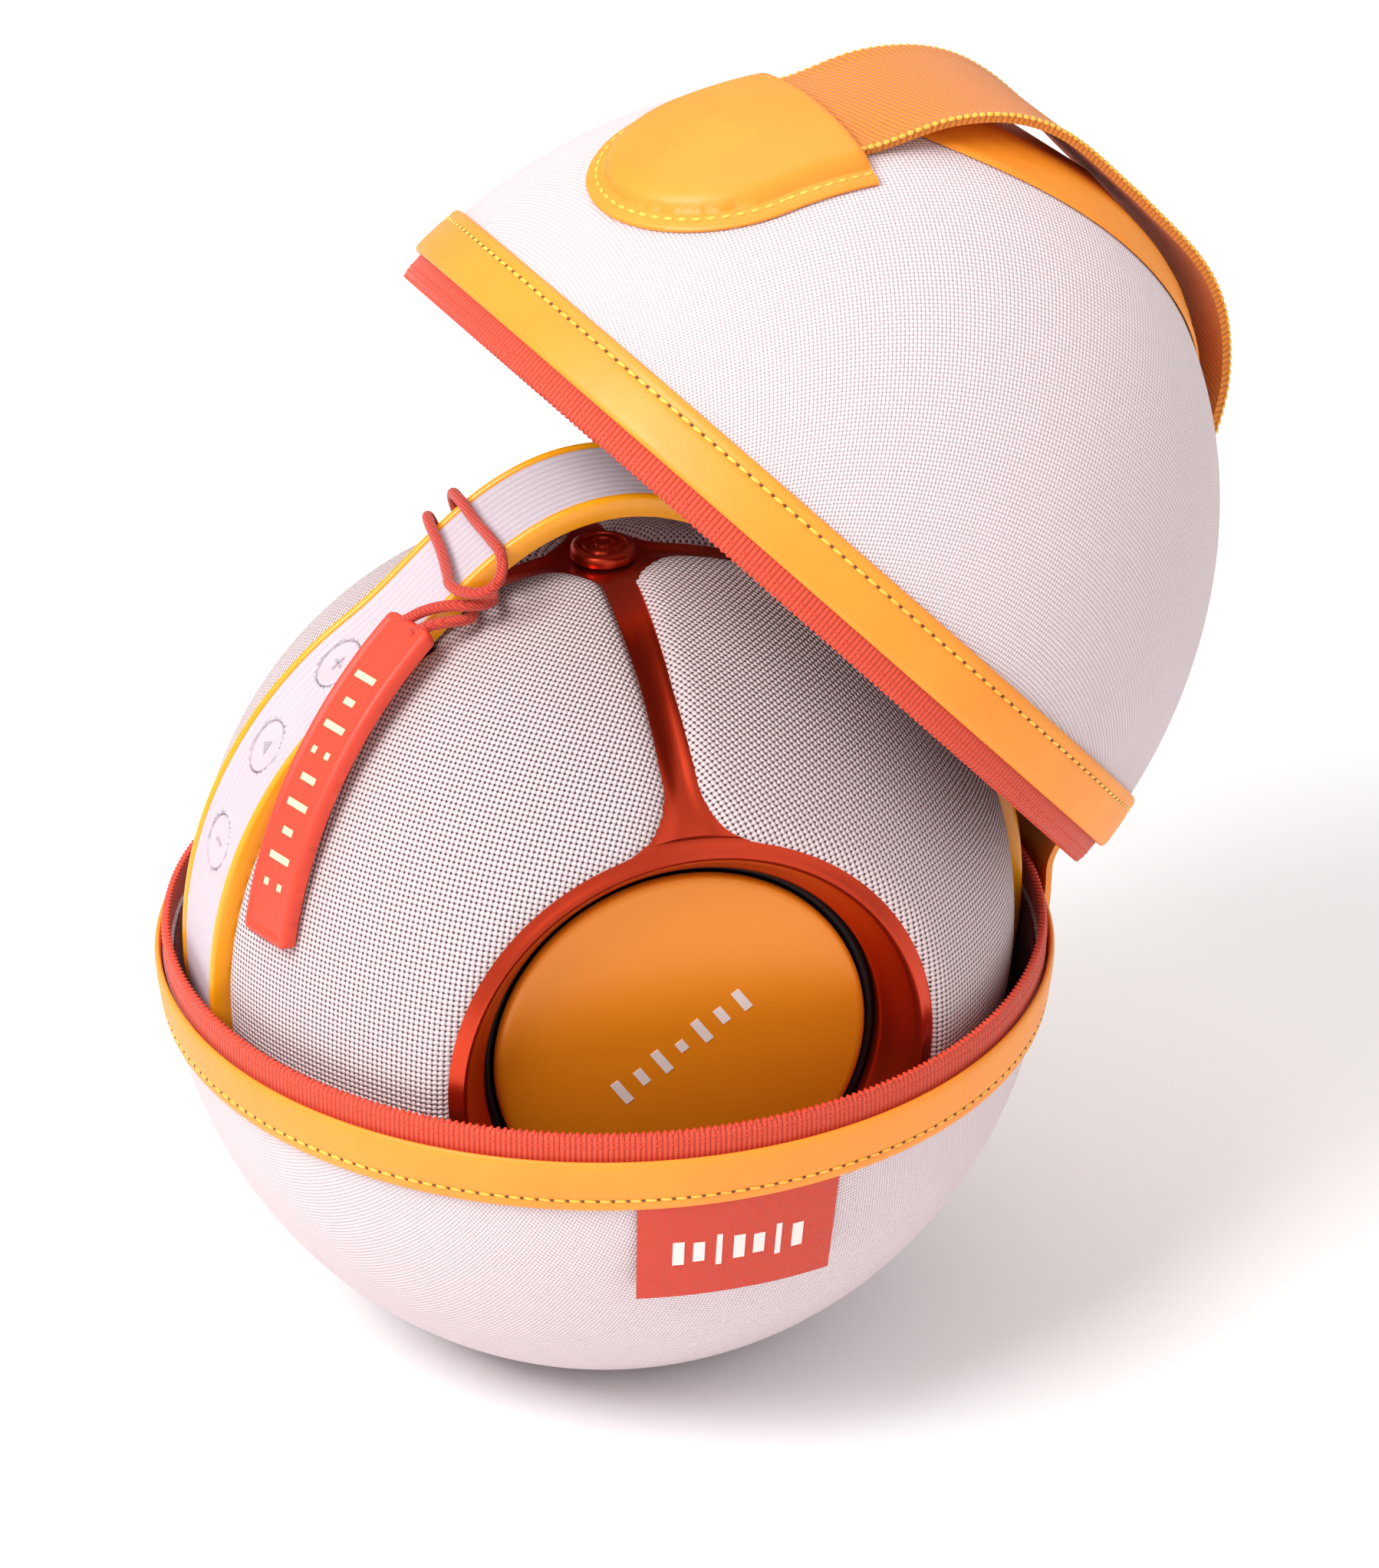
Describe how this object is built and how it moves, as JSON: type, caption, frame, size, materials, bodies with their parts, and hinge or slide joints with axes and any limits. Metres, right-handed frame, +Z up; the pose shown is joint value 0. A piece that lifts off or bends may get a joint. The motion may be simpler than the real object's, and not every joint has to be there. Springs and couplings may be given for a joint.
{
  "type": "spherical portable loudspeaker in a carrying case",
  "caption": "Ball-shaped portable loudspeaker with a top handle and side woofers, sitting in the lower half of its open zip-around two-shell carrying case.",
  "frame": {"origin": "centre of the flattened foot of the case's lower shell, on the surface it stands on", "axes": "+Z up, +X from the case's centre towards its hinge, +Y to the back; the front woofer looks 12 degrees off -Y"},
  "size_m": [0.2334, 0.1898, 0.2703],
  "materials": {
    "case_cloth": "pale pink-lilac coarse weave",
    "lining": "dark maroon knit",
    "zip_tape": "red-orange ribbed tape",
    "leather": "orange leather, fine grain, yellow stitching",
    "label": "red-orange woven ribbon",
    "webbing": "orange ribbed webbing",
    "zip_metal": "satin red-orange",
    "puller": "orange leather strip",
    "housing": "moulded matte",
    "frame_metal": "metallic red-orange, satin",
    "acoustic_cloth": "pale lilac open weave",
    "surround": "matte black",
    "disc": "satin orange",
    "driver_metal": "zinc plated",
    "battery": "shrink sleeve",
    "board": "lacquered",
    "handle_core": "moulded matte",
    "handle_band": "lilac-grey, ribbed lengthwise",
    "handle_trim": "orange piping",
    "foot_rubber": "matte black",
    "contact_metal": "gold plated",
    "screw_steel": "zinc plated",
    "tag_rubber": "red-orange, cream raised marks",
    "cord": "red-orange braid"
  },
  "bodies": {
    "case_base": {"base_shell": "case_cloth", "base_lining": "lining", "base_zip_tape": "zip_tape", "base_band": "leather", "hinge_leaf_base": "leather", "woven_label": "label"},
    "lid": {"lid_shell": "case_cloth", "lid_lining": "lining", "lid_zip_tape": "zip_tape", "lid_band": "leather", "hinge_leaf_lid": "leather", "carry_strap": "webbing", "strap_tab_front": "leather", "strap_tab_rear": "leather", "strap_saddle": "leather"},
    "zip_slider": {"zip_slider": "zip_metal"},
    "zip_puller": {"zip_puller": "puller"},
    "speaker": {"housing_front": "housing", "housing_rear": "housing", "cross_frame": "frame_metal", "panel_front_left": "acoustic_cloth", "panel_front_right": "acoustic_cloth", "panel_rear_left": "acoustic_cloth", "panel_rear_right": "acoustic_cloth", "top_boss": "frame_metal", "woofer_ring_front": "frame_metal", "woofer_ring_rear": "frame_metal", "woofer_surround_front": "surround", "woofer_surround_rear": "surround", "woofer_motor_front": "driver_metal", "woofer_motor_rear": "driver_metal", "side_driver_1": "driver_metal", "side_driver_2": "driver_metal", "side_driver_3": "driver_metal", "side_driver_4": "driver_metal", "inner_bracket": "housing", "battery_pack": "battery", "amplifier_board": "board", "handle_bow": "handle_core", "handle_skin": "handle_band", "handle_trim_front": "handle_trim", "handle_trim_rear": "handle_trim", "charging_socket": "contact_metal", "base_plate": "housing", "foot_ring": "foot_rubber", "contact_ring": "contact_metal", "base_screw_1": "screw_steel", "base_screw_2": "screw_steel", "base_screw_3": "screw_steel", "tag_cord": "cord"},
    "woofer_disc_front": {"woofer_disc_front": "disc"},
    "woofer_disc_rear": {"woofer_disc_rear": "disc"},
    "volume_down_button": {"volume_down_button": "handle_band"},
    "play_button": {"play_button": "handle_band"},
    "volume_up_button": {"volume_up_button": "handle_band"},
    "power_button": {"power_button": "handle_band"},
    "pairing_button": {"pairing_button": "handle_band"},
    "tag": {"tag": "tag_rubber"}
  },
  "joints": [
    {"name": "lid_hinge", "type": "hinge", "parent": "case_base", "child": "lid", "pos_m": [0.09695, 0, 0.0935], "axis": [0, 1, 0], "range_deg": [-48, 112]},
    {"name": "speaker_lift", "type": "slide", "parent": "case_base", "child": "speaker", "axis": [0, 0, 1], "range_m": [0, 0.035]},
    {"name": "zip_travel", "type": "hinge", "parent": "case_base", "child": "zip_slider", "pos_m": [0, 0, 0.0935], "axis": [0, 0, 1], "range_deg": [0, 304]},
    {"name": "puller_swing", "type": "hinge", "parent": "zip_slider", "child": "zip_puller", "pos_m": [0.08746, 0.0465, 0.0935], "axis": [0.4695, -0.8829, 0], "range_deg": [0, 90]},
    {"name": "woofer_front_travel", "type": "slide", "parent": "speaker", "child": "woofer_disc_front", "axis": [-0.2079, -0.9781, 0], "range_m": [-0.0035, 0.0035], "stiffness_N_per_m": 2500},
    {"name": "woofer_rear_travel", "type": "slide", "parent": "speaker", "child": "woofer_disc_rear", "axis": [0.2079, 0.9781, 0], "range_m": [-0.0035, 0.0035], "stiffness_N_per_m": 2500},
    {"name": "volume_down_press", "type": "slide", "parent": "speaker", "child": "volume_down_button", "axis": [0.9232, -0.1962, -0.3305], "range_m": [0, 0.0006], "stiffness_N_per_m": 600},
    {"name": "play_press", "type": "slide", "parent": "speaker", "child": "play_button", "axis": [0.8042, -0.1709, -0.5693], "range_m": [0, 0.0006], "stiffness_N_per_m": 600},
    {"name": "volume_up_press", "type": "slide", "parent": "speaker", "child": "volume_up_button", "axis": [0.6314, -0.1342, -0.7638], "range_m": [0, 0.0006], "stiffness_N_per_m": 600},
    {"name": "power_press", "type": "slide", "parent": "speaker", "child": "power_button", "axis": [-0.6795, 0.1444, -0.7193], "range_m": [0, 0.0006], "stiffness_N_per_m": 600},
    {"name": "pairing_press", "type": "slide", "parent": "speaker", "child": "pairing_button", "axis": [-0.8471, 0.1801, -0.5], "range_m": [0, 0.0006], "stiffness_N_per_m": 600},
    {"name": "tag_swing", "type": "hinge", "parent": "speaker", "child": "tag", "pos_m": [-0.03693, -0.008, 0.1783], "axis": [-0.1668, 0.9854, -0.0356], "range_deg": [0, 100]}
  ],
  "couplings": [
    {"joint": "woofer_rear_travel", "follows": "woofer_front_travel", "ratio": 1}
  ]
}
